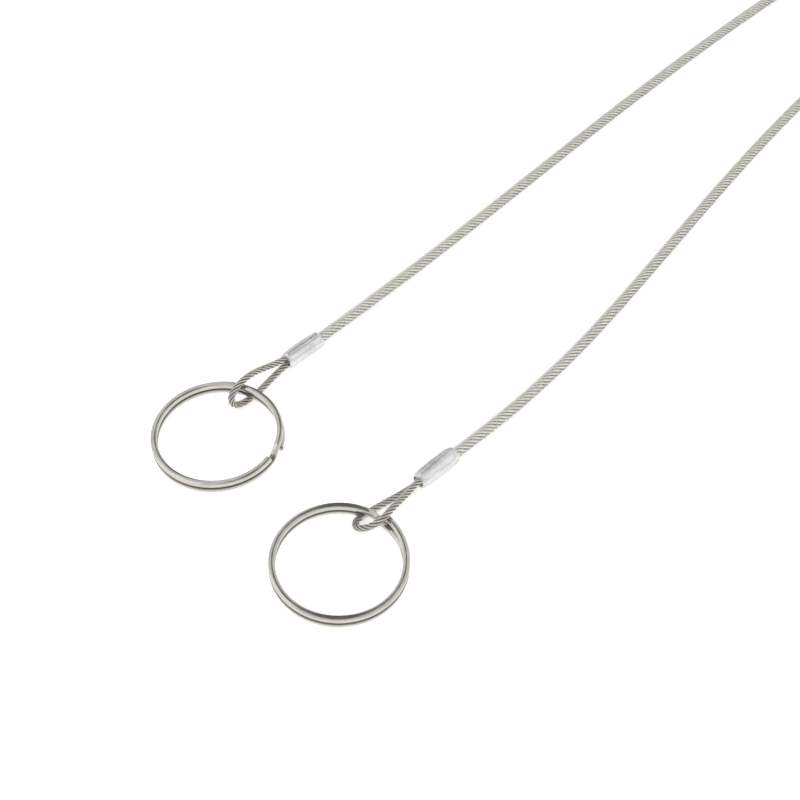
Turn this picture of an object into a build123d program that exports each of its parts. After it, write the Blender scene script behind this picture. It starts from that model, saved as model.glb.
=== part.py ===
from build123d import *
import math
import os

# Coated wire-rope lanyard with a split key ring in the eye at each end.
# Units are millimetres and +Z is up. The lanyard lies on the plane z = 0, with its two ends
# side by side and its eyes towards -Y. The origin is on that plane, under the middle of the
# rings, ferrules and eyes.

# ---- Driving dimensions -------------------------------------------------------------------

ROPE_D = 1.5  # bare stainless wire rope, 7x7
COAT_D = 2.6  # over the clear coat
ROPE_R = ROPE_D / 2
COAT_R = COAT_D / 2
OVERALL_LENGTH = 500.0  # eye tip to eye tip when pulled straight
LENGTH_TOLERANCE = 1.0

RING_OD = 28.0
RING_WIDTH = 1.4  # ring wire, measured along the ring's radius
RING_HEIGHT = 2.5  # both coils together
COIL_GAP = 0.04  # between the faces of the two coils
RING_EDGE_R = 0.3  # rounding of the ring wire's section
JOG_ANGLE = 16.0  # part of the turn where the wire steps from the top coil to the bottom one
COIL_ARC = 342.0  # each coil
SPRUNG_ARC = 60.0  # last part of one coil, which stands a little proud

FERRULE_RIM = 0.55  # rounding of the ferrule's two ends
FERRULE_BORE_GAP = 0.02  # between the pressed ferrule and the strands in it
FLASH_WIDTH = 0.5  # seam left by the press, along both sides
FLASH_PROUD = 0.12
FERRULE_MOUTH_R = 1.5  # shallow dish that the two legs come out of
FERRULE_MOUTH_DEPTH = 0.35
COAT_SEAT_DEPTH = 0.8  # counterbore that takes the coat's end
COAT_SEAT_GAP = 0.05

# Each end: x of the ferrule's axis, y of its mouth and of its cable end, and its radius.
FERRULE_A = {"x": -27.2, "mouth_y": 17.0, "end_y": 27.1, "radius": 2.0, "barrel": 0.05, "seam_deg": 62.0}
FERRULE_B = {"x": 17.6, "mouth_y": 13.0, "end_y": 23.9, "radius": 2.1, "barrel": 0.2, "seam_deg": 118.0}

# Each ring: centre, lean from flat, direction that it rises towards, where its wire steps
# between the coils (angles about +Z from +X), how much wider than the ring its sprung end
# curves, and whether it lies turned over.
RING_A = {"centre": (-21.2, -7.95), "lean": 3.9, "uphill": 105.0, "jog": 31.5, "spring": 0.9, "over": False}
RING_B = {"centre": (21.4, -13.1), "lean": 4.1, "uphill": 154.0, "jog": 94.0, "spring": 1.7, "over": True}

# Eye A, from the end of the tail in the ferrule, out over the ring, round the tip,
# back under the ring and into the ferrule.
EYE_A = [
    (-27.3, 23.4, 2.78),
    (-27.3, 16.2, 2.78),
    (-27.55, 13.2, 3.3),
    (-27.5, 10.0, 4.35),
    (-27.2, 6.9, 5.3),
    (-26.8, 3.9, 5.5),
    (-26.6, 1.8, 4.8),
    (-26.45, 0.5, 3.3),
    (-26.1, 0.45, 1.75),
    (-25.6, 1.6, 0.85),
    (-25.3, 3.6, 0.75),
    (-25.35, 6.4, 0.75),
    (-26.0, 9.8, 0.75),
    (-26.75, 13.6, 0.8),
    (-27.0, 17.0, 1.22),
    (-27.0, 22.4, 1.22),
]

# Eye B, the same way round.
EYE_B = [
    (18.0, 20.2, 2.9),
    (18.0, 12.3, 2.9),
    (18.8, 9.2, 3.3),
    (19.7, 5.9, 4.25),
    (20.55, 2.75, 5.15),
    (21.1, -0.05, 5.3),
    (20.8, -2.0, 4.55),
    (19.6, -3.2, 3.2),
    (17.9, -3.95, 1.9),
    (16.2, -3.75, 0.95),
    (15.2, -2.5, 0.75),
    (15.05, -0.5, 0.75),
    (15.55, 2.4, 0.75),
    (16.1, 5.8, 0.75),
    (16.75, 9.4, 0.8),
    (17.35, 13.1, 1.34),
    (17.35, 19.2, 1.34),
]

# The coated cable, from its seat in ferrule A, round the far bend, to its seat in ferrule B.
CABLE_ROUTE = [
    (-27.2, 26.7, 2.0),
    (-27.5, 36.0, 1.8),
    (-28.3, 47.0, 1.3),
    (-28.8, 61.0, 1.3),
    (-29.9, 79.0, 1.3),
    (-31.4, 101.0, 1.3),
    (-33.4, 129.0, 1.3),
    (-34.9, 157.0, 1.3),
    (-35.9, 184.0, 1.3),
    (-36.0, 209.0, 1.3),
    (-35.7, 229.2, 1.3),
    (-27.1, 237.8, 1.3),
    (-14.9, 237.8, 1.3),
    (-6.3, 229.2, 1.3),
    (-5.5, 207.5, 1.3),
    (-3.3, 179.0, 1.3),
    (0.1, 153.0, 1.3),
    (4.5, 127.0, 1.3),
    (9.3, 101.0, 1.3),
    (12.9, 81.0, 1.3),
    (15.6, 63.0, 1.3),
    (17.0, 46.0, 1.3),
    (17.65, 33.0, 1.9),
    (17.6, 23.5, 2.1),
]
LEAD_IN = 1.7  # straight stretch of bare rope in the ferrule, in line with the cable
ARC_SHARE = 0.45  # part of the shorter run that each bend takes up
MIN_BEND_RADIUS = 5 * COAT_D

# ---- Helpers ------------------------------------------------------------------------------


def bend_radii(points):
    """Radius of the arc at each inner point of a route, as large as its two runs allow."""
    radii = []
    for before, here, after in zip(points, points[1:], points[2:]):
        run_in = Vector(*here) - Vector(*before)
        run_out = Vector(*after) - Vector(*here)
        turn = math.radians(run_in.get_angle(run_out))
        radii.append(ARC_SHARE * min(run_in.length, run_out.length) / math.tan(turn / 2))
    return radii


def tube(path, radius, inner_radius=0.0):
    """A round solid along a path, hollow when an inner radius is given."""
    section = Plane(origin=path @ 0, z_dir=path % 0) * Circle(radius)
    if inner_radius > 0:
        section -= Plane(origin=path @ 0, z_dir=path % 0) * Circle(inner_radius)
    return sweep(section, path)


def report_volume(name, solid, area, length):
    """Print how far a swept solid's volume is from its section times its length."""
    print(f"{name}: volume {solid.volume:.2f}, section x length {area * length:.2f}")


# ---- Rope and coat ------------------------------------------------------------------------


def rounded_route(points):
    """A centre line of straight runs joined by tangent arcs."""
    return FilletPolyline(*points, radius=bend_radii(points))


def lead_in(cable_end, next_point):
    """A point in the ferrule on the line of the cable's first run."""
    end = Vector(*cable_end)
    return tuple(end - (Vector(*next_point) - end).normalized() * LEAD_IN)


# ---- Ferrules -----------------------------------------------------------------------------


def ferrule(spec, eye_points, axis_z):
    """A pressed sleeve: barrelled, rounded ends, a press seam each side, tight on the strands."""
    length = spec["end_y"] - spec["mouth_y"]
    radius = spec["radius"]
    slim = radius - spec["barrel"]
    outline = Polyline((0, 0), (slim - FERRULE_RIM, 0)) + ThreePointArc(
        (slim - FERRULE_RIM, 0), (slim - FERRULE_RIM * 0.293, FERRULE_RIM * 0.293), (slim, FERRULE_RIM)
    )
    outline += ThreePointArc((slim, FERRULE_RIM), (radius, length / 2), (slim, length - FERRULE_RIM))
    outline += ThreePointArc(
        (slim, length - FERRULE_RIM),
        (slim - FERRULE_RIM * 0.293, length - FERRULE_RIM * 0.293),
        (slim - FERRULE_RIM, length),
    )
    outline += Polyline((slim - FERRULE_RIM, length), (0, length), (0, 0))
    body = revolve(Plane.XY * make_face(outline), Axis.Y)

    seam_length = length - 4 * FERRULE_RIM
    seam = Box(2 * (radius + FLASH_PROUD), seam_length, FLASH_WIDTH)
    seam = fillet(seam.edges().filter_by(Axis.Y), FLASH_WIDTH * 0.3)
    body += Pos(0, length / 2, 0) * Rot(0, spec["seam_deg"], 0) * seam

    dish = Cone(FERRULE_MOUTH_R, FERRULE_MOUTH_R - FERRULE_MOUTH_DEPTH, 2 * FERRULE_MOUTH_DEPTH)
    body -= Rot(-90, 0, 0) * dish
    seat = Cylinder(COAT_R + COAT_SEAT_GAP, 2 * COAT_SEAT_DEPTH)
    body -= Pos(0, length, 0) * Rot(-90, 0, 0) * seat

    body = Pos(spec["x"], spec["mouth_y"], axis_z) * body
    bore_r = ROPE_R + FERRULE_BORE_GAP
    tail = rounded_route(eye_points[:3])
    standing = rounded_route(eye_points[-5:])
    return body - tube(tail, bore_r) - tube(standing, bore_r)


# ---- Split rings --------------------------------------------------------------------------


def ring_section(radius, height):
    """The ring wire's section, in the XZ plane, centred at the given radius and height."""
    coil_height = (RING_HEIGHT - COIL_GAP) / 2
    shape = RectangleRounded(RING_WIDTH, coil_height, RING_EDGE_R)
    return Plane(origin=(radius, 0, height), x_dir=(1, 0, 0), z_dir=(0, -1, 0)) * shape


def split_ring(spec):
    """Two flat coils of one wire, joined by a short step, lying with a slight lean."""
    mid_radius = (RING_OD - RING_WIDTH) / 2
    lift = (RING_HEIGHT + COIL_GAP) / 4  # height of each coil's centre from the ring's mid-plane

    # Angles run clockwise from above, from the step's upper end.
    top = Rot(0, 0, COIL_ARC) * revolve(ring_section(mid_radius, lift), Axis.Z, -COIL_ARC)
    plain_arc = COIL_ARC - SPRUNG_ARC
    bottom = Rot(0, 0, -JOG_ANGLE) * revolve(ring_section(mid_radius, -lift), Axis.Z, -plain_arc)

    sprung_axis = Axis((-spec["spring"], 0, 0), (0, 0, 1))
    sprung = revolve(ring_section(mid_radius, -lift), sprung_axis, -SPRUNG_ARC)
    bottom += Rot(0, 0, -JOG_ANGLE - plain_arc) * sprung

    # The step follows the ring's curve while it drops from one coil to the other.
    step_points = []
    for share, drop in ((0.0, 0.0), (0.25, 0.13), (0.5, 0.5), (0.75, 0.87), (1.0, 1.0)):
        angle = math.radians(-JOG_ANGLE * share)
        step_points.append(
            (mid_radius * math.cos(angle), mid_radius * math.sin(angle), lift * (1 - 2 * drop))
        )
    end_angle = math.radians(-JOG_ANGLE)
    step_path = Edge.make_spline(
        [Vector(*p) for p in step_points],
        tangents=[Vector(0, -1, 0), Vector(math.sin(end_angle), -math.cos(end_angle), 0)],
    )
    step = sweep(ring_section(mid_radius, lift), step_path, normal=(0, 0, 1))

    ring = top + bottom + step
    if spec["over"]:
        ring = Rot(180, 0, 0) * ring
    lean = math.radians(spec["lean"])
    centre_z = RING_OD / 2 * math.sin(lean) + RING_HEIGHT / 2 * math.cos(lean)
    uphill = spec["uphill"]
    ring = Rot(0, 0, spec["jog"]) * ring
    ring = Rot(0, 0, uphill) * Rot(0, -spec["lean"], 0) * Rot(0, 0, -uphill) * ring
    return Pos(*spec["centre"], centre_z) * ring


# ---- Assembly -----------------------------------------------------------------------------

cable = rounded_route(CABLE_ROUTE)
cable_radii = bend_radii(CABLE_ROUTE)
print("cable bend radii:", [round(r, 1) for r in cable_radii])
assert min(cable_radii) >= MIN_BEND_RADIUS

eye_a_points = EYE_A + [lead_in(CABLE_ROUTE[0], CABLE_ROUTE[1]), CABLE_ROUTE[0]]
eye_b_points = EYE_B + [lead_in(CABLE_ROUTE[-1], CABLE_ROUTE[-2]), CABLE_ROUTE[-1]]
eye_a_path = rounded_route(eye_a_points)
eye_b_path = rounded_route(eye_b_points)
print("eye A bend radii:", [round(r, 1) for r in bend_radii(eye_a_points)])
print("eye B bend radii:", [round(r, 1) for r in bend_radii(eye_b_points)])

parts = {
    "cable_coat": tube(cable, COAT_R, ROPE_R),
    "rope_core": tube(cable, ROPE_R),
    "rope_eye_a": tube(eye_a_path, ROPE_R),
    "rope_eye_b": tube(eye_b_path, ROPE_R),
    "ferrule_a": ferrule(FERRULE_A, eye_a_points, CABLE_ROUTE[0][2]),
    "ferrule_b": ferrule(FERRULE_B, eye_b_points, CABLE_ROUTE[-1][2]),
    "key_ring_a": split_ring(RING_A),
    "key_ring_b": split_ring(RING_B),
}

rope_area = math.pi * ROPE_R**2
report_volume("cable_coat", parts["cable_coat"], math.pi * COAT_R**2 - rope_area, cable.length)
report_volume("rope_core", parts["rope_core"], rope_area, cable.length)
report_volume("rope_eye_a", parts["rope_eye_a"], rope_area, eye_a_path.length)
report_volume("rope_eye_b", parts["rope_eye_b"], rope_area, eye_b_path.length)

reach_a = CABLE_ROUTE[0][1] - parts["rope_eye_a"].bounding_box().min.Y
reach_b = CABLE_ROUTE[-1][1] - parts["rope_eye_b"].bounding_box().min.Y
overall = reach_a + cable.length + reach_b
print(f"coated cable {cable.length:.1f}, eye tip to eye tip {overall:.1f}")
assert abs(overall - OVERALL_LENGTH) < LENGTH_TOLERANCE

os.makedirs("parts", exist_ok=True)
for name, solid in parts.items():
    export_step(solid, f"parts/{name}.step")
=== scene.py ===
import math

import bmesh
import bpy
import numpy as np
from mathutils import Matrix, Vector, noise


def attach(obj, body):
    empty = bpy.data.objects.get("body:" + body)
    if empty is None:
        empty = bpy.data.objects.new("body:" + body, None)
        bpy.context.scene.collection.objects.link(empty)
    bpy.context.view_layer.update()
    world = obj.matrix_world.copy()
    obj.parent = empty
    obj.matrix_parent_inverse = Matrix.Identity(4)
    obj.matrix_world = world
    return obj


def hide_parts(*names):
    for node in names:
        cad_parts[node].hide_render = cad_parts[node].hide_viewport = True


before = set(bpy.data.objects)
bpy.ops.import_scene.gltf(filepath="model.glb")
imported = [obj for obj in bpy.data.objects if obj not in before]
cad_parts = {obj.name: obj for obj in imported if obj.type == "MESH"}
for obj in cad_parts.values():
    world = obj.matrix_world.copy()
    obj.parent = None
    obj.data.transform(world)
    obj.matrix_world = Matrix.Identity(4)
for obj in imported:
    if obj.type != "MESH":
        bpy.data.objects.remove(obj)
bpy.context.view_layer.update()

# Coated wire-rope lanyard with a split key ring in the eye at each end. All lengths are metres.

# ---- Sizes, as in the CAD design --------------------------------------------------------------

MM = 0.001
ROPE_R = 0.75 * MM
COAT_R = 1.3 * MM

RING_OD_R = 14.0 * MM
RING_WIDTH = 1.4 * MM
RING_MID_R = RING_OD_R - RING_WIDTH / 2
RING_HEIGHT = 2.5 * MM
COIL_GAP = 0.04 * MM
JOG_ANGLE = math.radians(16.0)
COIL_ARC = math.radians(342.0)
SPRUNG_ARC = math.radians(60.0)

# Each ring: centre, lean from flat, direction that it rises towards, where its wire steps
# between the coils (degrees), how far its sprung end stands out, and whether it lies turned over.
RINGS = {
    "a": {
        "centre": (-0.0212, -0.00795),
        "lean": 3.9,
        "uphill": 105.0,
        "jog": 31.5,
        "spring": 0.0009,
        "over": False,
    },
    "b": {
        "centre": (0.0214, -0.0131),
        "lean": 4.1,
        "uphill": 154.0,
        "jog": 94.0,
        "spring": 0.0017,
        "over": True,
    },
}

# Each sleeve: x and z of its axis, y of its mouth and of its cable end, radius at its middle and
# near its ends, angle of its seam (degrees), depth of its dents and where their noise starts.
FERRULES = {
    "a": {
        "axis": (-0.0272, 0.0020),
        "mouth": 0.0170,
        "end": 0.0271,
        "radius": 0.00200,
        "slim": 0.00195,
        "seam": 62.0,
        "dent": 0.00006,
        "seed": 3.0,
    },
    "b": {
        "axis": (0.0176, 0.0021),
        "mouth": 0.0130,
        "end": 0.0239,
        "radius": 0.00210,
        "slim": 0.00190,
        "seam": 118.0,
        "dent": 0.00012,
        "seed": 11.0,
    },
}

# The rope of each eye: tail in the sleeve, over the ring, round the tip, back under the ring,
# and through the sleeve to where the coat starts.
EYES = {
    "a": [
        (-0.0273, 0.0234, 0.00278),
        (-0.0273, 0.0162, 0.00278),
        (-0.02755, 0.0132, 0.0033),
        (-0.0275, 0.0100, 0.00435),
        (-0.0272, 0.0069, 0.0053),
        (-0.0268, 0.0039, 0.0055),
        (-0.0266, 0.0018, 0.0048),
        (-0.02645, 0.0005, 0.0033),
        (-0.0261, 0.00045, 0.00175),
        (-0.0256, 0.0016, 0.00085),
        (-0.0253, 0.0036, 0.00075),
        (-0.02535, 0.0064, 0.00075),
        (-0.0260, 0.0098, 0.00075),
        (-0.02675, 0.0136, 0.0008),
        (-0.0270, 0.0170, 0.00122),
        (-0.0270, 0.0224, 0.00122),
        (-0.02715, 0.0250, 0.00204),
        (-0.0272, 0.0267, 0.0020),
    ],
    "b": [
        (0.0180, 0.0202, 0.0029),
        (0.0180, 0.0123, 0.0029),
        (0.0188, 0.0092, 0.0033),
        (0.0197, 0.0059, 0.00425),
        (0.02055, 0.00275, 0.00515),
        (0.0211, -0.00005, 0.0053),
        (0.0208, -0.0020, 0.00455),
        (0.0196, -0.0032, 0.0032),
        (0.0179, -0.00395, 0.0019),
        (0.0162, -0.00375, 0.00095),
        (0.0152, -0.0025, 0.00075),
        (0.01505, -0.0005, 0.00075),
        (0.01555, 0.0024, 0.00075),
        (0.0161, 0.0058, 0.00075),
        (0.01675, 0.0094, 0.0008),
        (0.01735, 0.0131, 0.00134),
        (0.01735, 0.0192, 0.00134),
        (0.0176, 0.0218, 0.00214),
        (0.0176, 0.0235, 0.0021),
    ],
}

# The coated cable, from its seat in sleeve A, round the far bend, to its seat in sleeve B.
CABLE_ROUTE = [
    (-0.0272, 0.0267, 0.0020),
    (-0.0275, 0.0360, 0.0018),
    (-0.0283, 0.0470, 0.0013),
    (-0.0288, 0.0610, 0.0013),
    (-0.0299, 0.0790, 0.0013),
    (-0.0314, 0.1010, 0.0013),
    (-0.0334, 0.1290, 0.0013),
    (-0.0349, 0.1570, 0.0013),
    (-0.0359, 0.1840, 0.0013),
    (-0.0360, 0.2090, 0.0013),
    (-0.0357, 0.2292, 0.0013),
    (-0.0271, 0.2378, 0.0013),
    (-0.0149, 0.2378, 0.0013),
    (-0.0063, 0.2292, 0.0013),
    (-0.0055, 0.2075, 0.0013),
    (-0.0033, 0.1790, 0.0013),
    (0.0001, 0.1530, 0.0013),
    (0.0045, 0.1270, 0.0013),
    (0.0093, 0.1010, 0.0013),
    (0.0129, 0.0810, 0.0013),
    (0.0156, 0.0630, 0.0013),
    (0.0170, 0.0460, 0.0013),
    (0.01765, 0.0330, 0.0019),
    (0.0176, 0.0235, 0.0021),
]

# ---- Stranding --------------------------------------------------------------------------------

STRANDS = 6
STRAND_R = 0.25 * MM
STRAND_HELIX_R = ROPE_R - STRAND_R
ROPE_LAY = 7.4 * MM  # one turn of a strand round the rope, right hand
WIRES = 6
WIRE_R = STRAND_R / 3
WIRE_HELIX_R = STRAND_R - WIRE_R
WIRE_LAY = 3.0 * MM  # one turn of a wire round its strand, left hand
WIRE_TURN_APART = 0.7  # how far each strand's wires are turned from the next strand's, radians
COATED_STEP = 0.42 * MM  # spacing of the points along the rope in the coat
BARE_STEP = 0.22 * MM  # the same in the bare eyes

# ---- Helpers ----------------------------------------------------------------------------------


def nurbs_curve(name, points):
    """A smooth open curve object with the points as its control points."""
    data = bpy.data.curves.new(name, "CURVE")
    data.dimensions = "3D"
    data.resolution_u = 16
    data.twist_mode = "MINIMUM"
    spline = data.splines.new("NURBS")
    spline.points.add(len(points) - 1)
    for control, point in zip(spline.points, points):
        control.co = (*point, 1.0)
    spline.order_u = 3
    spline.use_endpoint_u = True
    obj = bpy.data.objects.new(name, data)
    bpy.context.scene.collection.objects.link(obj)
    return obj


def arc_length(line):
    """Distance along a line at each of its points."""
    return np.concatenate([[0.0], np.cumsum(np.linalg.norm(np.diff(line, axis=0), axis=1))])


def centre_line(curve, step):
    """Evenly spaced points on a curve that has no bevel yet."""
    bpy.context.view_layer.update()
    mesh = bpy.data.meshes.new_from_object(curve)
    line = np.array([v.co for v in mesh.vertices])
    bpy.data.meshes.remove(mesh)
    along = arc_length(line)
    count = max(2, round(along[-1] / step) + 1)
    wanted = np.linspace(0.0, along[-1], count)
    return np.stack([np.interp(wanted, along, line[:, i]) for i in range(3)], axis=1)


def frames_along(line):
    """The tangent and two crosswise directions at each point, turning as little as possible."""
    tangents = np.gradient(line, axis=0)
    tangents /= np.linalg.norm(tangents, axis=1)[:, None]
    across = np.zeros_like(line)
    first = np.cross(tangents[0], (0.0, 0.0, 1.0))
    across[0] = first / np.linalg.norm(first)
    for i in range(1, len(line)):
        turned = across[i - 1] - tangents[i] * np.dot(across[i - 1], tangents[i])
        across[i] = turned / np.linalg.norm(turned)
    return tangents, across, np.cross(tangents, across)


def helix(line, radius, turn):
    """A line that winds round another one at a radius; turn is its angle at each point."""
    _, across, above = frames_along(line)
    return line + radius * (np.cos(turn)[:, None] * across + np.sin(turn)[:, None] * above)


def new_object(name, mesh, material, body, replaced):
    """Link a mesh as a finished piece that rides a body and stands for CAD nodes."""
    obj = bpy.data.objects.new(name, mesh)
    bpy.context.scene.collection.objects.link(obj)
    mesh.materials.append(material)
    for polygon in mesh.polygons:
        polygon.use_smooth = True
    dress(obj, body, replaced)
    return obj


def dress(obj, body, replaced):
    """Say what a piece rides on, which CAD nodes it stands for."""
    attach(obj, body)
    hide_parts(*replaced)


def tubes_mesh(name, axis_line, paths, radius, sides):
    """Thin round tubes in one mesh, with how far each point stands out from the rope's axis."""
    vertices, faces, uvs, standing = [], [], [], []
    corner = np.arange(sides) * 2 * math.pi / sides
    for path in paths:
        base = sum(len(v) for v in vertices)
        _, across, above = frames_along(path)
        ring = (
            path[:, None, :]
            + radius * np.cos(corner)[None, :, None] * across[:, None, :]
            + radius * np.sin(corner)[None, :, None] * above[:, None, :]
        )
        count = len(path)
        vertices.append(ring.reshape(-1, 3))
        standing.append(np.linalg.norm(ring - axis_line[:, None, :], axis=2).reshape(-1))
        length = arc_length(path)
        for i in range(count - 1):
            for j in range(sides):
                k = (j + 1) % sides
                low, high = base + i * sides, base + (i + 1) * sides
                faces.append((low + j, low + k, high + k, high + j))
                u0, u1 = length[i] / MM, length[i + 1] / MM
                v0, v1 = j / sides, (j + 1) / sides
                uvs.extend(((u0, v0), (u0, v1), (u1, v1), (u1, v0)))
        faces.append(tuple(base + j for j in reversed(range(sides))))
        faces.append(tuple(base + (count - 1) * sides + j for j in range(sides)))
        uvs.extend([(0.0, 0.0)] * (2 * sides))
    mesh = bpy.data.meshes.new(name)
    mesh.from_pydata(np.concatenate(vertices).tolist(), [], faces)
    layer = mesh.uv_layers.new(name="along")
    layer.data.foreach_set("uv", np.array(uvs, dtype=np.float32).ravel())
    height = mesh.attributes.new("height", "FLOAT", "POINT")
    reach = np.concatenate(standing)
    # 0 in the valleys between the strands, 1 on the rope's outside.
    height.data.foreach_set("value", ((reach - 0.4 * ROPE_R) / (0.6 * ROPE_R)).astype(np.float32))
    mesh.update()
    return mesh


# ---- Materials --------------------------------------------------------------------------------


def new_material(name):
    """A node material, its tree and its main shader."""
    material = bpy.data.materials.new(name)
    material.use_nodes = True
    tree = material.node_tree
    return material, tree, tree.nodes["Principled BSDF"]


def node(tree, kind, **settings):
    """A new node; each setting is the value of an input with that name, or else a property."""
    made = tree.nodes.new(kind)
    for key, value in settings.items():
        if key in made.inputs:
            made.inputs[key].default_value = value
        else:
            setattr(made, key, value)
    return made


def ramp(tree, source, stops):
    """A colour ramp fed by a socket. stops are (position, grey level or colour)."""
    made = tree.nodes.new("ShaderNodeValToRGB")
    tree.links.new(source, made.inputs["Fac"])
    elements = made.color_ramp.elements
    elements[0].position, elements[-1].position = stops[0][0], stops[-1][0]
    for position, _ in stops[1:-1]:
        elements.new(position)
    for k, (_, level) in enumerate(stops):
        elements[k].color = (*level, 1.0) if isinstance(level, tuple) else (level, level, level, 1.0)
    return made.outputs["Color"]


def wire_material(name, colour, shade, bare):
    """Stainless wire: bright crowns, painted shade in dark brown gaps between the strands, uneven tone
    from wire to wire.
    """
    material, tree, shader = new_material(name)
    shader.inputs["Metallic"].default_value = 1.0
    link = tree.links.new
    height = node(tree, "ShaderNodeAttribute", attribute_name="height")
    # Painted shade: points low between the strands take the shade colour, standing in for the shadow in
    # the gaps.
    painted_gap_shade = ramp(tree, height.outputs["Fac"], [(0.0, 0.0), (0.5, 0.06), (0.8, 0.55), (0.95, 1.0)])
    coords = tree.nodes.new("ShaderNodeTexCoord")
    patch = node(tree, "ShaderNodeTexNoise", Scale=900.0, Detail=3.0)
    link(coords.outputs["Object"], patch.inputs["Vector"])
    tone = ramp(tree, patch.outputs["Fac"], [(0.3, tuple(0.78 * c for c in colour)), (0.7, colour)])
    mix = node(tree, "ShaderNodeMix", data_type="RGBA")
    mix.inputs["A"].default_value = (*shade, 1.0)
    link(painted_gap_shade, mix.inputs["Factor"])
    link(tone, mix.inputs["B"])
    link(mix.outputs["Result"], shader.inputs["Base Color"])
    rough = ramp(tree, patch.outputs["Fac"], [(0.25, 0.24), (0.75, 0.38)])
    link(rough, shader.inputs["Roughness"])
    if not bare:
        wires = tree.nodes.new("ShaderNodeUVMap")
        split = tree.nodes.new("ShaderNodeSeparateXYZ")
        link(wires.outputs["UV"], split.inputs["Vector"])
        around = node(tree, "ShaderNodeMath", operation="MULTIPLY")
        around.inputs[1].default_value = float(WIRES)
        link(split.outputs["Y"], around.inputs[0])
        along = node(tree, "ShaderNodeMath", operation="MULTIPLY")
        along.inputs[1].default_value = WIRES * MM / WIRE_LAY
        link(split.outputs["X"], along.inputs[0])
        total = node(tree, "ShaderNodeMath", operation="ADD")
        link(around.outputs[0], total.inputs[0])
        link(along.outputs[0], total.inputs[1])
        wave = node(tree, "ShaderNodeMath", operation="PINGPONG")
        wave.inputs[1].default_value = 0.5
        link(total.outputs[0], wave.inputs[0])
        crown = ramp(tree, wave.outputs[0], [(0.0, 0.0), (0.12, 0.55), (0.5, 1.0)])
        bump = node(tree, "ShaderNodeBump", Strength=0.35, Distance=0.00004)
        link(crown, bump.inputs["Height"])
        link(bump.outputs["Normal"], shader.inputs["Normal"])
    return material


def coat_material():
    """Clear extruded plastic, very slightly uneven."""
    material, tree, shader = new_material("clear_coat")
    shader.inputs["Base Color"].default_value = (0.965, 0.965, 0.945, 1.0)
    shader.inputs["Transmission Weight"].default_value = 1.0
    shader.inputs["IOR"].default_value = 1.52
    shader.inputs["Roughness"].default_value = 0.04
    coords = tree.nodes.new("ShaderNodeTexCoord")
    wave = node(tree, "ShaderNodeTexNoise", Scale=260.0, Detail=2.0)
    tree.links.new(coords.outputs["Object"], wave.inputs["Vector"])
    bump = node(tree, "ShaderNodeBump", Strength=0.04, Distance=0.0001)
    tree.links.new(wave.outputs["Fac"], bump.inputs["Height"])
    tree.links.new(bump.outputs["Normal"], shader.inputs["Normal"])
    return material


def ring_material():
    """Polished spring steel with drawing lines along the wire, faint handling marks and painted shade
    where the coils meet.
    """
    material, tree, shader = new_material("ring_steel")
    shader.inputs["Metallic"].default_value = 1.0
    link = tree.links.new
    uv = tree.nodes.new("ShaderNodeUVMap")
    stretch = node(tree, "ShaderNodeMapping")
    stretch.inputs["Scale"].default_value = (0.35, 9.0, 1.0)
    link(uv.outputs["UV"], stretch.inputs["Vector"])
    lines = node(tree, "ShaderNodeTexNoise", Scale=1.6, Detail=5.0, Roughness=0.6)
    link(stretch.outputs["Vector"], lines.inputs["Vector"])
    coords = tree.nodes.new("ShaderNodeTexCoord")
    cloud = node(tree, "ShaderNodeTexNoise", Scale=230.0, Detail=3.0)
    link(coords.outputs["Object"], cloud.inputs["Vector"])
    tone = ramp(tree, cloud.outputs["Fac"], [(0.3, (0.50, 0.485, 0.45)), (0.7, (0.62, 0.60, 0.56))])
    # Painted shade: where the coils face each other the colour is mixed towards a dark brown-grey.
    painted_groove_shade = node(tree, "ShaderNodeAttribute", attribute_name="painted_groove_shade")
    shaded = node(tree, "ShaderNodeMix", data_type="RGBA")
    shaded.inputs["B"].default_value = (0.10, 0.09, 0.062, 1.0)
    link(painted_groove_shade.outputs["Fac"], shaded.inputs["Factor"])
    link(tone, shaded.inputs["A"])
    link(shaded.outputs["Result"], shader.inputs["Base Color"])
    rough = ramp(tree, lines.outputs["Fac"], [(0.3, 0.08), (0.75, 0.19)])
    link(rough, shader.inputs["Roughness"])
    bump = node(tree, "ShaderNodeBump", Strength=0.45, Distance=0.00003)
    link(lines.outputs["Fac"], bump.inputs["Height"])
    link(bump.outputs["Normal"], shader.inputs["Normal"])
    return material


def sleeve_material():
    """Pressed aluminium: satin, with fine scuffs from the press."""
    material, tree, shader = new_material("sleeve_aluminium")
    shader.inputs["Metallic"].default_value = 1.0
    link = tree.links.new
    coords = tree.nodes.new("ShaderNodeTexCoord")
    stretch = node(tree, "ShaderNodeMapping")
    stretch.inputs["Scale"].default_value = (1.0, 0.25, 1.0)
    link(coords.outputs["Object"], stretch.inputs["Vector"])
    scuffs = node(tree, "ShaderNodeTexNoise", Scale=2400.0, Detail=4.0, Roughness=0.65)
    link(stretch.outputs["Vector"], scuffs.inputs["Vector"])
    cloud = node(tree, "ShaderNodeTexNoise", Scale=420.0, Detail=3.0)
    link(coords.outputs["Object"], cloud.inputs["Vector"])
    tone = ramp(tree, cloud.outputs["Fac"], [(0.3, (0.60, 0.60, 0.605)), (0.7, (0.73, 0.73, 0.735))])
    link(tone, shader.inputs["Base Color"])
    rough = ramp(tree, scuffs.outputs["Fac"], [(0.3, 0.20), (0.7, 0.40)])
    link(rough, shader.inputs["Roughness"])
    bump = node(tree, "ShaderNodeBump", Strength=0.3, Distance=0.00005)
    link(scuffs.outputs["Fac"], bump.inputs["Height"])
    link(bump.outputs["Normal"], shader.inputs["Normal"])
    return material


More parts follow.
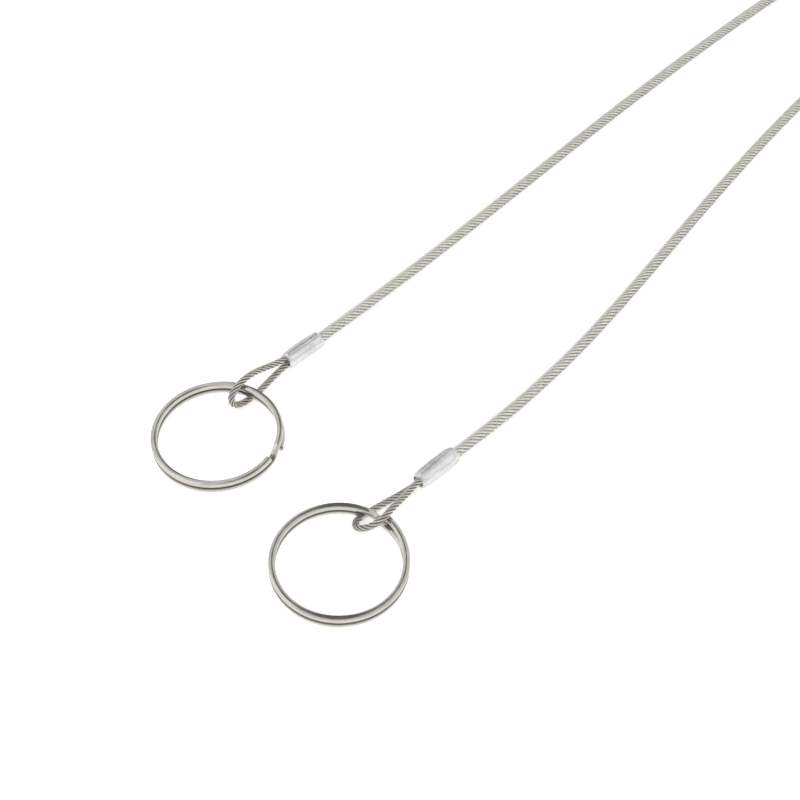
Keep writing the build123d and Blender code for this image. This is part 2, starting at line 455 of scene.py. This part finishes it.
# The last colour given to each wire material is its painted shade for the gaps between the strands.
bare_wire = wire_material("bare_wire", (0.90, 0.87, 0.80), (0.06, 0.046, 0.033), True)
coated_wire = wire_material("coated_wire", (0.93, 0.92, 0.87), (0.60, 0.585, 0.55), False)
clear_coat = coat_material()
ring_steel = ring_material()
sleeve_aluminium = sleeve_material()

# ---- Camera -----------------------------------------------------------------------------------

TARGET = Vector((-0.0026, 0.0279, 0.0))
CAMERA_DISTANCE = 0.370
CAMERA_AZIMUTH = math.radians(45.0)
CAMERA_ELEVATION = math.radians(47.3)

camera_data = bpy.data.cameras.new("camera")
camera_data.lens = 76.86
camera_data.sensor_width = 36.0
camera_data.clip_start = 0.01
camera_data.clip_end = 20.0
camera = bpy.data.objects.new("camera", camera_data)
bpy.context.scene.collection.objects.link(camera)
away = Vector(
    (
        math.sin(CAMERA_AZIMUTH) * math.cos(CAMERA_ELEVATION),
        -math.cos(CAMERA_AZIMUTH) * math.cos(CAMERA_ELEVATION),
        math.sin(CAMERA_ELEVATION),
    )
)
camera.location = TARGET + away * CAMERA_DISTANCE
camera.rotation_euler = (-away).to_track_quat("-Z", "Y").to_euler()
bpy.context.scene.camera = camera

# ---- Cable ------------------------------------------------------------------------------------

cable = nurbs_curve("cable_coat_clear", CABLE_ROUTE)
cable_line = centre_line(cable, COATED_STEP)
cable.data.bevel_depth = COAT_R
cable.data.bevel_resolution = 6
cable.data.use_fill_caps = True
cable.data.materials.append(clear_coat)
dress(cable, "cable", ["cable_coat"])


def strand_paths(line):
    """The centre lines of the outer strands round a rope's axis."""
    turn = arc_length(line) / ROPE_LAY * 2 * math.pi
    return [helix(line, STRAND_HELIX_R, turn + k * 2 * math.pi / STRANDS) for k in range(STRANDS)]


core_mesh = tubes_mesh("rope_in_coat", cable_line, [*strand_paths(cable_line), cable_line], STRAND_R, 9)
rope_in_coat = new_object("rope_in_coat", core_mesh, coated_wire, "cable", ["rope_core"])

# ---- Eyes -------------------------------------------------------------------------------------


def build_eye(end):
    """The bare rope of one eye, wire by wire."""
    guide = nurbs_curve(f"guide_{end}", EYES[end])
    line = centre_line(guide, BARE_STEP)
    bpy.data.objects.remove(guide)
    wires = []
    for k, strand in enumerate(strand_paths(line)):
        wind = -arc_length(strand) / WIRE_LAY * 2 * math.pi + WIRE_TURN_APART * k
        for w in range(WIRES):
            wires.append(helix(strand, WIRE_HELIX_R, wind + w * 2 * math.pi / WIRES))
    mesh = tubes_mesh(f"rope_eye_{end}_wires", line, [*wires, line], WIRE_R, 5)
    new_object(f"rope_eye_{end}_wires", mesh, bare_wire, "cable", [f"rope_eye_{end}"])


for end in EYES:
    build_eye(end)

# ---- Ferrules ---------------------------------------------------------------------------------

SLEEVE_SIDES = 120
SEAT_DEPTH = 0.8 * MM
SEAT_R = COAT_R + 0.03 * MM
SHOULDER_R = 0.55 * MM  # rounding of the sleeve's ends, along its radius
SHOULDER_LENGTH = 0.85 * MM
SHOULDER_STEPS = 12
BARREL_STEPS = 44
MOUTH_R = 1.28 * MM
MOUTH_LIP = 0.02 * MM
DISH_DEPTH = 0.35 * MM
SEAT_LIP_WIDTH, SEAT_LIP_DEPTH = 0.02 * MM, 0.06 * MM

# The press leaves a thin raised line along each side and a shallow flat beside it (radians).
FLASH_HEIGHT, FLASH_HALF_ANGLE = 0.08 * MM, 0.05
FLAT_DEPTH, FLAT_OFFSET, FLAT_HALF_ANGLE = 0.08 * MM, 0.17, 0.1
DENTS_AROUND, DENTS_PER_MM = 1.9, 0.55


def sleeve_profile(spec):
    """(radius, distance from the mouth) from the dish's middle, over the outside, to the seat's."""
    length = spec["end"] - spec["mouth"]
    slim, full = spec["slim"], spec["radius"]
    profile = [(0.0, DISH_DEPTH), (0.6 * MOUTH_R, DISH_DEPTH), (0.93 * MOUTH_R, 0.6 * DISH_DEPTH)]
    profile.append((MOUTH_R, MOUTH_LIP))
    for k in range(SHOULDER_STEPS + 1):
        angle = math.pi / 2 * k / SHOULDER_STEPS
        profile.append(
            (slim - SHOULDER_R * (1 - math.sin(angle)), SHOULDER_LENGTH * (1 - math.cos(angle)))
        )
    for k in range(1, BARREL_STEPS):
        share = k / BARREL_STEPS
        swell = 1 - (2 * share - 1) ** 4
        along = SHOULDER_LENGTH + (length - 2 * SHOULDER_LENGTH) * share
        profile.append((slim + (full - slim) * swell, along))
    for k in range(SHOULDER_STEPS + 1):
        angle = math.pi / 2 * k / SHOULDER_STEPS
        profile.append(
            (
                slim - SHOULDER_R * (1 - math.cos(angle)),
                length - SHOULDER_LENGTH * (1 - math.sin(angle)),
            )
        )
    profile.append((SEAT_R + SEAT_LIP_WIDTH, length))
    profile.append((SEAT_R, length - SEAT_LIP_DEPTH))
    profile.append((SEAT_R, length - SEAT_DEPTH))
    profile.append((0.0, length - SEAT_DEPTH))
    return profile


def build_sleeve(end):
    """One pressed sleeve, its profile turned round its axis and marked by the press."""
    spec = FERRULES[end]
    profile = sleeve_profile(spec)
    length = spec["end"] - spec["mouth"]
    seam = math.radians(spec["seam"])
    bm = bmesh.new()
    rings = []
    for radius, along in profile:
        if radius == 0.0:
            rings.append([bm.verts.new((spec["axis"][0], spec["mouth"] + along, spec["axis"][1]))])
            continue
        ring = []
        for j in range(SLEEVE_SIDES):
            angle = 2 * math.pi * j / SLEEVE_SIDES
            outer = max(0.0, (radius - 0.85 * spec["slim"]) / (0.15 * spec["slim"]))
            middle = max(0.0, min(1.0, 4 * min(along, length - along) / length))
            apart = abs((angle - seam + math.pi / 2) % math.pi - math.pi / 2)
            raised = FLASH_HEIGHT * math.exp(-((apart / FLASH_HALF_ANGLE) ** 2))
            sunk = FLAT_DEPTH * math.exp(-(((apart - FLAT_OFFSET) / FLAT_HALF_ANGLE) ** 2))
            spot = (
                math.cos(angle) * DENTS_AROUND,
                along / MM * DENTS_PER_MM,
                math.sin(angle) * DENTS_AROUND + spec["seed"],
            )
            dent = spec["dent"] * noise.noise(Vector(spot))
            r = radius + min(1.0, outer) * (middle * (raised - sunk) + dent)
            x = spec["axis"][0] + r * math.cos(angle)
            z = spec["axis"][1] + r * math.sin(angle)
            ring.append(bm.verts.new((x, spec["mouth"] + along, z)))
        rings.append(ring)
    for low, high in zip(rings, rings[1:]):
        for j in range(SLEEVE_SIDES):
            k = (j + 1) % SLEEVE_SIDES
            if len(low) == 1:
                bm.faces.new((low[0], high[k], high[j]))
            elif len(high) == 1:
                bm.faces.new((low[j], low[k], high[0]))
            else:
                bm.faces.new((low[j], low[k], high[k], high[j]))
    bmesh.ops.recalc_face_normals(bm, faces=bm.faces)
    mesh = bpy.data.meshes.new(f"ferrule_{end}_pressed")
    bm.to_mesh(mesh)
    bm.free()
    new_object(f"ferrule_{end}_pressed", mesh, sleeve_aluminium, "cable", [f"ferrule_{end}"])


for end in FERRULES:
    build_sleeve(end)

# ---- Split rings ------------------------------------------------------------------------------

COIL_HEIGHT = (RING_HEIGHT - COIL_GAP) / 2
COIL_LIFT = (RING_HEIGHT + COIL_GAP) / 4
ANGLE_STEP = math.radians(1.25)
TOP_FACE, TOP_CROWN_R = 0.56 * MM, 2.0 * MM
SIDE_FACE, SIDE_CROWN_R = 0.36 * MM, 1.3 * MM
CORNER_OUT, CORNER_UP = 0.11, 0.13  # how far the corner's control point is pulled in
END_BEVEL = 0.07 * MM
JOG_STEPS = 14

# Painted shade darkens the faces that meet between the coils, unless the sprung end stands clear.
GROOVE_SHADE = 0.85
GROOVE_CLEAR = 0.25 * MM
GROOVE_FROM, GROOVE_FADE = 0.2, 0.35


def wire_section(inset=0.0):
    """(outwards, up) points round the ring wire's section: four crowned faces, rounded corners."""
    half_w, half_h = RING_WIDTH / 2, COIL_HEIGHT / 2
    quarter = []
    for share in np.linspace(0.0, 1.0, 6):
        y = SIDE_FACE * share
        quarter.append((half_w - SIDE_CROWN_R + math.sqrt(SIDE_CROWN_R**2 - y * y), y))
    top = []
    for share in np.linspace(1.0, 0.0, 7):
        x = TOP_FACE * share
        top.append((x, half_h - TOP_CROWN_R + math.sqrt(TOP_CROWN_R**2 - x * x)))
    low, high = Vector(quarter[-1]), Vector(top[0])
    knee = Vector((low.x - CORNER_OUT * (high.y - low.y), high.y - CORNER_UP * (low.x - high.x)))
    for share in (0.2, 0.4, 0.6, 0.8):
        here = low * (1 - share) ** 2 + knee * 2 * share * (1 - share) + high * share**2
        quarter.append((here.x, here.y))
    quarter += top
    half = quarter + [(-x, y) for x, y in reversed(quarter[:-1])]
    full = half + [(x, -y) for x, y in reversed(half[1:-1])]
    return [(x * (1 - inset / half_w), y * (1 - inset / half_h)) for x, y in full]


def stand_off(angle, spring):
    """How far the sprung coil stands out from the other one, at an angle on the unturned ring."""
    sprung = 2 * math.pi - JOG_ANGLE - (COIL_ARC - SPRUNG_ARC) - angle % (2 * math.pi)
    return spring * (1 - math.cos(min(sprung, SPRUNG_ARC))) if sprung > 0 else 0.0


def ring_centre_line(spring):
    """Points of the wire's centre line, from the free end on top to the sprung one below."""
    stations = []
    for angle in np.arange(COIL_ARC, 0.0, -ANGLE_STEP):
        stations.append((angle, RING_MID_R, COIL_LIFT))
    for share in np.linspace(0.0, 1.0, JOG_STEPS + 1):
        drop = share * share * (3 - 2 * share)
        stations.append((-JOG_ANGLE * share, RING_MID_R, COIL_LIFT * (1 - 2 * drop)))
    plain = COIL_ARC - SPRUNG_ARC
    for angle in np.arange(ANGLE_STEP, plain, ANGLE_STEP):
        stations.append((-JOG_ANGLE - angle, RING_MID_R, -COIL_LIFT))
    points = [Vector((r * math.cos(a), r * math.sin(a), z)) for a, r, z in stations]
    spring_turn = Matrix.Rotation(-JOG_ANGLE - plain, 3, "Z")
    r = RING_MID_R + spring
    for angle in np.arange(0.0, SPRUNG_ARC + ANGLE_STEP / 2, ANGLE_STEP):
        place = Vector((r * math.cos(angle) - spring, -r * math.sin(angle), -COIL_LIFT))
        points.append(spring_turn @ place)
    return points


def build_ring(end):
    """One split ring: the wire's section carried along its centre line, then laid in its place."""
    spec = RINGS[end]
    points = ring_centre_line(spec["spring"])
    count = len(points)
    lean = math.radians(spec["lean"])
    height = RING_OD_R * math.sin(lean) + RING_HEIGHT / 2 * math.cos(lean)
    uphill = Matrix.Rotation(math.radians(spec["uphill"]), 3, "Z")
    tilt = uphill @ Matrix.Rotation(-lean, 3, "Y") @ uphill.transposed()
    turn = tilt @ Matrix.Rotation(math.radians(spec["jog"]), 3, "Z")
    if spec["over"]:
        turn = turn @ Matrix.Rotation(math.pi, 3, "X")
    centre = Vector((*spec["centre"], height))

    full, inset = wire_section(), wire_section(END_BEVEL)
    sides = len(full)
    bm = bmesh.new()
    uv_layer = bm.loops.layers.uv.new("along")
    painted_shade_layer = bm.verts.layers.float.new("painted_groove_shade")
    rings, lengths = [], []
    travelled = 0.0
    for i, here in enumerate(points):
        before, after = points[max(i - 1, 0)], points[min(i + 1, count - 1)]
        tangent = (after - before).normalized()
        out = tangent.cross(Vector((0, 0, 1))).normalized()
        if out.dot(here) < 0:
            out = -out
        up = out.cross(tangent)
        if up.z < 0:
            up = -up
        if i:
            travelled += (here - points[i - 1]).length
        # Painted shade between the coils: full where they meet, fading to none where the sprung end
        # stands clear.
        apart = stand_off(math.atan2(here.y, here.x), spec["spring"])
        shade_amount = max(0.0, 1 - apart / GROOVE_CLEAR) * GROOVE_SHADE
        shapes = [(full, 0.0)]
        if i == 0:
            shapes = [(inset, 0.0), (full, END_BEVEL)]
        elif i == count - 1:
            shapes = [(full, -END_BEVEL), (inset, 0.0)]
        for shape, shift in shapes:
            ring = []
            for x, y in shape:
                vertex = bm.verts.new(turn @ (here + tangent * shift + out * x + up * y) + centre)
                # Only the faces turned towards the other coil take the painted shade.
                facing = -y * here.z / (COIL_LIFT * COIL_HEIGHT / 2)
                inside = max(0.0, min(1.0, (facing - GROOVE_FROM) / GROOVE_FADE))
                vertex[painted_shade_layer] = shade_amount * inside
                ring.append(vertex)
            rings.append(ring)
            lengths.append(travelled + shift)
    for (low, high), (s0, s1) in zip(zip(rings, rings[1:]), zip(lengths, lengths[1:])):
        for j in range(sides):
            k = (j + 1) % sides
            face = bm.faces.new((low[j], low[k], high[k], high[j]))
            v0, v1 = j / sides, (j + 1) / sides
            for loop, uv in zip(face.loops, ((s0, v0), (s0, v1), (s1, v1), (s1, v0))):
                loop[uv_layer].uv = (uv[0] / MM, uv[1])
    bm.faces.new(rings[0])
    bm.faces.new(rings[-1])
    bmesh.ops.recalc_face_normals(bm, faces=bm.faces)
    mesh = bpy.data.meshes.new(f"split_ring_{end}")
    bm.to_mesh(mesh)
    bm.free()
    name, body, node_name = f"split_ring_{end}", f"ring_{end}", f"key_ring_{end}"
    ring = new_object(name, mesh, ring_steel, body, [node_name])
    weighted = ring.modifiers.new("normals", "WEIGHTED_NORMAL")
    weighted.keep_sharp = True


for end in RINGS:
    build_ring(end)

# ---- Floor and light --------------------------------------------------------------------------

FLOOR_HALF = 3.0
FLOOR_GAP = 0.02 * MM  # kept under the lanyard so that no faces coincide

floor_material, _, floor_shader = new_material("pale_floor")
floor_shader.inputs["Base Color"].default_value = (0.93, 0.93, 0.93, 1.0)
floor_shader.inputs["Roughness"].default_value = 0.9
floor_shader.inputs["Specular IOR Level"].default_value = 0.1
floor_shader.inputs["Emission Color"].default_value = (1.0, 1.0, 1.0, 1.0)
floor_shader.inputs["Emission Strength"].default_value = 0.45
floor_mesh = bpy.data.meshes.new("floor")
floor_corners = [
    (-FLOOR_HALF, -FLOOR_HALF, 0),
    (FLOOR_HALF, -FLOOR_HALF, 0),
    (FLOOR_HALF, FLOOR_HALF, 0),
    (-FLOOR_HALF, FLOOR_HALF, 0),
]
floor_mesh.from_pydata(floor_corners, [], [(0, 1, 2, 3)])
floor = bpy.data.objects.new("floor", floor_mesh)
floor_mesh.materials.append(floor_material)
floor.location.z = -FLOOR_GAP
bpy.context.scene.collection.objects.link(floor)


def area_light(name, place, look_at, size, power):
    """A soft square light that faces a point."""
    light = bpy.data.lights.new(name, "AREA")
    light.size = size
    light.energy = power
    obj = bpy.data.objects.new(name, light)
    obj.location = place
    obj.rotation_euler = (Vector(look_at) - Vector(place)).to_track_quat("-Z", "Y").to_euler()
    bpy.context.scene.collection.objects.link(obj)


area_light("key", (-0.5, -0.3, 0.9), TARGET, size=0.6, power=0.6)
area_light("fill", (0.7, 0.5, 0.7), TARGET, size=0.6, power=0.4)

# The surroundings are a pale studio with one narrow dark upright strip, which gives the bright
# metal its thin dark lines.
STRIP_AZIMUTH = 135.0  # degrees
STRIP_HALF_WIDTH = 0.09  # of the sky's radius, as are the two soft parts of its side
STRIP_SOFT_IN, STRIP_SOFT_OUT = 0.04, 0.05
STRIP_LOW, STRIP_LOW_SOFT = 4.0, 4.0  # degrees of elevation
STRIP_HIGH, STRIP_HIGH_SOFT = 76.0, 10.0

world = bpy.data.worlds.new("studio")
world.use_nodes = True
bpy.context.scene.world = world
tree = world.node_tree
link = tree.links.new
background = tree.nodes["Background"]
coords = tree.nodes.new("ShaderNodeTexCoord")
turned = node(tree, "ShaderNodeMapping", vector_type="POINT")
turned.inputs["Rotation"].default_value = (0.0, 0.0, math.radians(-STRIP_AZIMUTH))
link(coords.outputs["Generated"], turned.inputs["Vector"])
parts = tree.nodes.new("ShaderNodeSeparateXYZ")
link(turned.outputs["Vector"], parts.inputs["Vector"])


def world_math(operation, first, second=None):
    """A math node in the world's tree, fed by sockets or plain numbers."""
    made = node(tree, "ShaderNodeMath", operation=operation)
    for socket, value in zip(made.inputs, (first, second)):
        if value is None:
            continue
        if isinstance(value, float):
            socket.default_value = value
        else:
            link(value, socket)
    return made.outputs[0]


across = world_math("ABSOLUTE", parts.outputs["Y"])
elevation = world_math("ARCSINE", parts.outputs["Z"])
side_stops = [
    (0.0, 1.0),
    (STRIP_HALF_WIDTH - STRIP_SOFT_IN, 1.0),
    (STRIP_HALF_WIDTH + STRIP_SOFT_OUT, 0.0),
    (1.0, 0.0),
]
side = ramp(tree, across, side_stops)
far_side = world_math("GREATER_THAN", parts.outputs["X"], 0.0)
height_stops = [
    (0.0, 0.0),
    (STRIP_LOW / 90, 0.0),
    ((STRIP_LOW + STRIP_LOW_SOFT) / 90, 1.0),
    (STRIP_HIGH / 90, 1.0),
    ((STRIP_HIGH + STRIP_HIGH_SOFT) / 90, 0.0),
    (1.0, 0.0),
]
height = ramp(tree, world_math("MULTIPLY", elevation, 2 / math.pi), height_stops)
strip = world_math("MULTIPLY", world_math("MULTIPLY", side, far_side), height)
level = ramp(tree, strip, [(0.0, (0.88, 0.88, 0.87)), (1.0, (0.16, 0.155, 0.145))])
link(level, background.inputs["Color"])
background.inputs["Strength"].default_value = 1.0

bpy.context.scene.view_settings.view_transform = "Standard"
